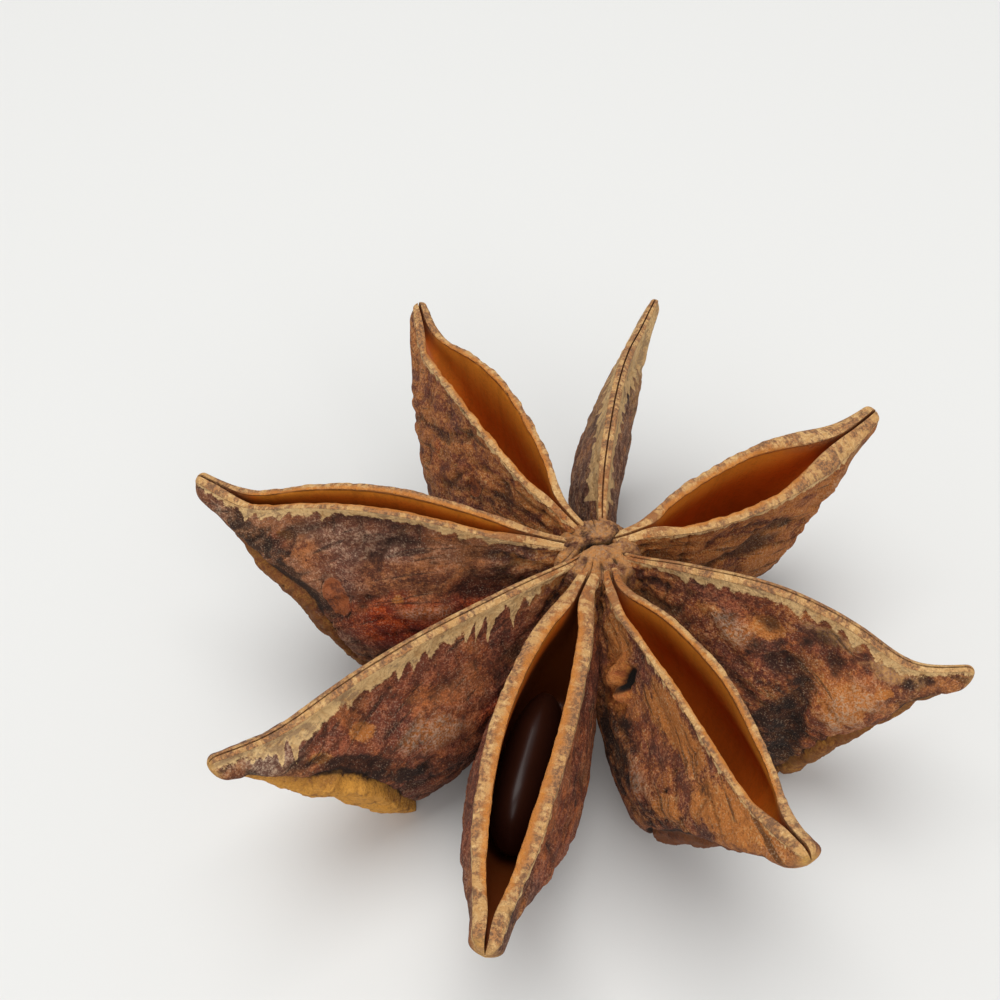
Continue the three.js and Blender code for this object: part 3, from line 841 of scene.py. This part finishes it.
class AniseColours(bpy.types.PropertyGroup):
    """The finishes' colours."""

    brown: colour("Husk brown", "Main colour of the husk", "#6d3c27")
    brown_light: colour("Husk light brown", "Lighter grains of the husk", "#b27444")
    grey: colour("Husk grey", "Weathered grey-brown", "#775647")
    dust: colour("Dust", "Pale grains on the grey husk", "#bba288")
    red: colour("Husk red-brown", "Redder zones of the husk", "#80290f")
    rust: colour("Rust", "Brighter grains of the red-brown", "#c4521c")
    worn: colour("Worn husk", "Scuffed orange-tan places", "#be7434")
    plum: colour("Rim marks", "Purple-brown marks on the rims", "#6b4838")
    plum_dark: colour("Plum zones", "Darker purple-brown zones of the husk", "#4e2f26")
    # dark is both real blackened patches and streaks and the painted shade in dents, grooves and low on the
    # walls
    dark: colour("Dark husk", "Blackened folds and patches", "#21150f")
    # the hole colour is painted shade inside holes and the hub's crack
    hole_shade: colour("Hole", "The inside of a small hole", "#0e0906")
    tan: colour("Tan lip", "Band along the lips", "#cb9a60")
    tan_light: colour("Light tan lip", "Palest grains of the band", "#eec88c")
    cork: colour("Light cork", "Yellow-orange cork along a keel", "#dc9c40")
    cork_dark: colour("Dark cork", "Dark cork along a keel", "#74421f")
    scar: colour("Scar", "Smooth oval scars", "#a85a2e")
    tip: colour("Beak end", "Pale end of each beak", "#d2a056")
    # The three lining colours go from lit to shaded with depth, as painted shade; the deepest also marks the
    # lining's streaks and the lightest the inner rims
    amber_light: colour("Lining at the lip", "Lining just under a lip", "#d8852c")
    amber: colour("Lining", "Smooth lining of a hollow", "#d0681c")
    amber_shade_and_streaks: colour("Deep lining", "Lining at the bottom of a hollow", "#6a3210")
    # The seed colours are the coat's dark brown, darkened further as painted shade of the hollow it lies in
    seed: colour("Seed", "Seed coat", "#200e08")
    seed_light: colour("Light seed", "Lighter clouds of the seed coat", "#36180d")
    card: colour("Floor", "The card under the pod", "#dededc")


class AniseSizes(bpy.types.PropertyGroup):
    """Sizes of the seed, the crack in the hub and the studio."""

    seed_pinch: bpy.props.FloatProperty(
        name="Seed pinch", description="How much narrower the seed is at its scar", default=0.22,
        min=0, max=0.6, subtype="FACTOR")
    crack_length: bpy.props.FloatProperty(
        name="Crack length", description="Length of the crack across the hub's top",
        default=3.6 * MM, min=0, unit="LENGTH")
    crack_depth: bpy.props.FloatProperty(
        name="Crack depth", description="Depth of that crack", default=1.0 * MM, min=0, unit="LENGTH")
    floor_size: bpy.props.FloatProperty(
        name="Floor size", description="Side of the square floor", default=0.9, min=0.1, unit="LENGTH")
    camera_lens: bpy.props.FloatProperty(
        name="Lens", description="Focal length on a 36 mm sensor", default=45.8, min=10,
        subtype="DISTANCE_CAMERA")


# -------- operators

class ANISE_OT_follicles(bpy.types.Operator):
    """Make the eight follicles, open and closed"""

    bl_idname = "anise.follicles"
    bl_label = "Follicles"

    def execute(self, context):
        material = husk_material(context.scene.anise_colours)
        hub = hub_place()
        for number, pod in enumerate(FOLLICLES, 1):
            make_follicle(f"follicle_{number}", pod, 100 * number, hub, material)
        return {"FINISHED"}


class ANISE_OT_hub(bpy.types.Operator):
    """Make the lumpy hub that joins the follicles, with its crack and the stalk's scar"""

    bl_idname = "anise.hub"
    bl_label = "Hub"

    def execute(self, context):
        sizes = context.scene.anise_sizes
        piece = start_piece("hub", bpy.ops.mesh.primitive_uv_sphere_add, segments=160, ring_count=110,
                            radius=1)
        ball = vertex_places(piece)
        polar = np.arccos(np.clip(ball[:, 2], -1, 1)) / math.pi
        turn = np.arctan2(ball[:, 1], ball[:, 0])
        steps = np.linspace(0, 1, len(HUB_PROFILE))
        radius = curve_at(tuple(zip(steps, (p[0] for p in HUB_PROFILE))), polar)
        below = curve_at(tuple(zip(steps, (p[1] for p in HUB_PROFILE))), polar)
        points = np.stack([radius * np.cos(turn), radius * np.sin(turn), CROWN_HEIGHT - below], axis=-1)
        top = 1 - ease(polar, 0.25, 0.45)
        outwards = points - np.array([0, 0, CROWN_HEIGHT - 3])
        outwards /= np.linalg.norm(outwards, axis=-1, keepdims=True)
        spokes = np.stack([np.cos(turn) * 5, np.sin(turn) * 5, radius * 0.6], axis=-1)
        furrows = creases(spokes, 1.5, 11) * ease(radius, 0.5, 1.1)
        push = 0.22 * layered(points, 1.3, 7) + 0.06 * noise(points, 0.22, 9)
        push += 0.14 * layered(spokes, 1.2, 15) * ease(radius, 0.2, 1.0) - 0.16 * furrows
        along, across = turned(points[:, 0], points[:, 1], -CRACK_HEADING)
        across = across + 0.16 * np.sin(along * 3) + 0.1 * noise(points, 0.5, 21)
        half = sizes.crack_length / MM / 2
        crack = np.exp(-(across / 0.11) ** 2) * (1 - ease(np.abs(along), half * 0.6, half)) * top
        push -= crack * sizes.crack_depth / MM
        points = points + outwards * push[:, None]
        points[:, :2] += hub_place()
        piece.data.vertices.foreach_set("co", (points * MM).ravel())
        # The crack is filled with the painted shade of a hole, and the furrows darken with painted shade
        known = {"grey": 0.4, "worn": 0.4, "dark": 0.3, "tan": top * 0.8, "scar": -1, "band": -1,
                 "strip": -2, "tip": 0.1, "lip": 1.5, "fold": 0.7, "relief": push, "crease": furrows,
                 "pit": np.clip(crack * 1.5 - 0.3, 0, 1)}
        for name in HUSK_FACTS:
            store(piece, name, known.get(name, 0) + np.zeros(len(ball)))
        store(piece, "fibre", points * MM)
        close_piece(piece, 0.0005 * MM)
        join_frame(piece, "pod", bpy.data.materials["dried_star_anise_husk"])
        return {"FINISHED"}


class ANISE_OT_seed(bpy.types.Operator):
    """Make the glossy seed that lies in the front follicle that gapes most"""

    bl_idname = "anise.seed"
    bl_label = "Seed"

    def execute(self, context):
        sizes = context.scene.anise_sizes
        low, high = (np.array(corner) / MM for corner in SEED_BOX)
        middle, span = (low + high) / 2, high - low
        piece = start_piece("seed_kernel", bpy.ops.mesh.primitive_uv_sphere_add, segments=96,
                            ring_count=64, radius=0.5)
        ball = vertex_places(piece)
        narrow = 1 - sizes.seed_pinch * ease(-ball[:, 0], 0.1, 0.5)
        notch = 0.12 * np.exp(-(((ball[:, 0] + 0.47) / 0.04) ** 2 + (ball[:, 2] / 0.12) ** 2))
        blunt = np.sqrt(1 + (2 * ball[:, 0]) ** 2)
        out = ball[:, 0] * SEED_LENGTH + notch * SEED_LENGTH
        side = ball[:, 1] * SEED_THICKNESS * narrow * blunt
        up = ball[:, 2] * span[2] * narrow * blunt
        points = np.stack([*turned(out, side, FOLLICLES[SEED_FOLLICLE]["heading"]), up], axis=-1) + middle
        piece.data.vertices.foreach_set("co", (points * MM).ravel())
        close_piece(piece, 0.0005 * MM)
        join_frame(piece, "seed", seed_material(context.scene.anise_colours))
        return {"FINISHED"}


class ANISE_OT_stage(bpy.types.Operator):
    """Set out the pale floor, the soft lights and the camera"""

    bl_idname = "anise.stage"
    bl_label = "Stage"

    def execute(self, context):
        scene = context.scene
        sizes = scene.anise_sizes
        floor = start_piece("floor", bpy.ops.mesh.primitive_plane_add, size=sizes.floor_size)
        floor.data.materials.append(floor_material(scene.anise_colours))

        crown = Vector((*(hub_place() * MM), CROWN_HEIGHT * MM))
        for name, away, size, power, tint in SOFTBOXES:
            light = bpy.data.objects.new(name, bpy.data.lights.new(name, "AREA"))
            scene.collection.objects.link(light)
            light.data.size = size
            light.data.energy = power
            light.data.color = tint
            light.location = crown + Vector(away)
            light.rotation_mode = "QUATERNION"
            light.rotation_quaternion = (-Vector(away)).to_track_quat("-Z", "Y")

        world = scene.world or bpy.data.worlds.new("studio_air")
        scene.world = world
        world.use_nodes = True
        air = world.node_tree.nodes["Background"].inputs
        air["Color"].default_value = (0.94, 0.95, 0.96, 1)
        air["Strength"].default_value = 0.47

        camera = bpy.data.objects.new("camera", bpy.data.cameras.new("camera"))
        scene.collection.objects.link(camera)
        camera.location = crown + Vector(CAMERA_AWAY) * MM
        aim = crown + Vector(CAMERA_AIM) * MM
        look = (aim - camera.location).to_track_quat("-Z", "Y")
        camera.rotation_mode = "QUATERNION"
        camera.rotation_quaternion = look @ Quaternion((0, 0, 1), math.radians(CAMERA_ROLL))
        camera.data.sensor_width = 36
        camera.data.lens = sizes.camera_lens
        camera.data.clip_start = 0.001
        scene.camera = camera
        scene.view_settings.view_transform = "Standard"
        return {"FINISHED"}


class ANISE_PT_panel(bpy.types.Panel):
    """Lists the pod's pieces and settings"""

    bl_idname = "ANISE_PT_panel"
    bl_label = "Star anise pod"
    bl_space_type = "VIEW_3D"
    bl_region_type = "UI"
    bl_category = "Star anise"

    def draw(self, context):
        for operator in OPERATORS:
            self.layout.operator(operator.bl_idname)
        for group in (context.scene.anise_sizes, context.scene.anise_colours):
            box = self.layout.box()
            for name in group.__annotations__:
                box.prop(group, name)


OPERATORS = (ANISE_OT_follicles, ANISE_OT_hub, ANISE_OT_seed, ANISE_OT_stage)
CLASSES = (AniseColours, AniseSizes, *OPERATORS, ANISE_PT_panel)


def register():
    for cls in CLASSES:
        bpy.utils.register_class(cls)
    bpy.types.Scene.anise_colours = bpy.props.PointerProperty(type=AniseColours)
    bpy.types.Scene.anise_sizes = bpy.props.PointerProperty(type=AniseSizes)


def unregister():
    del bpy.types.Scene.anise_colours
    del bpy.types.Scene.anise_sizes
    for cls in reversed(CLASSES):
        bpy.utils.unregister_class(cls)


def main():
    register()
    bpy.ops.anise.follicles()
    bpy.ops.anise.hub()
    bpy.ops.anise.seed()
    bpy.ops.anise.stage()


if __name__ == "__main__":
    main()
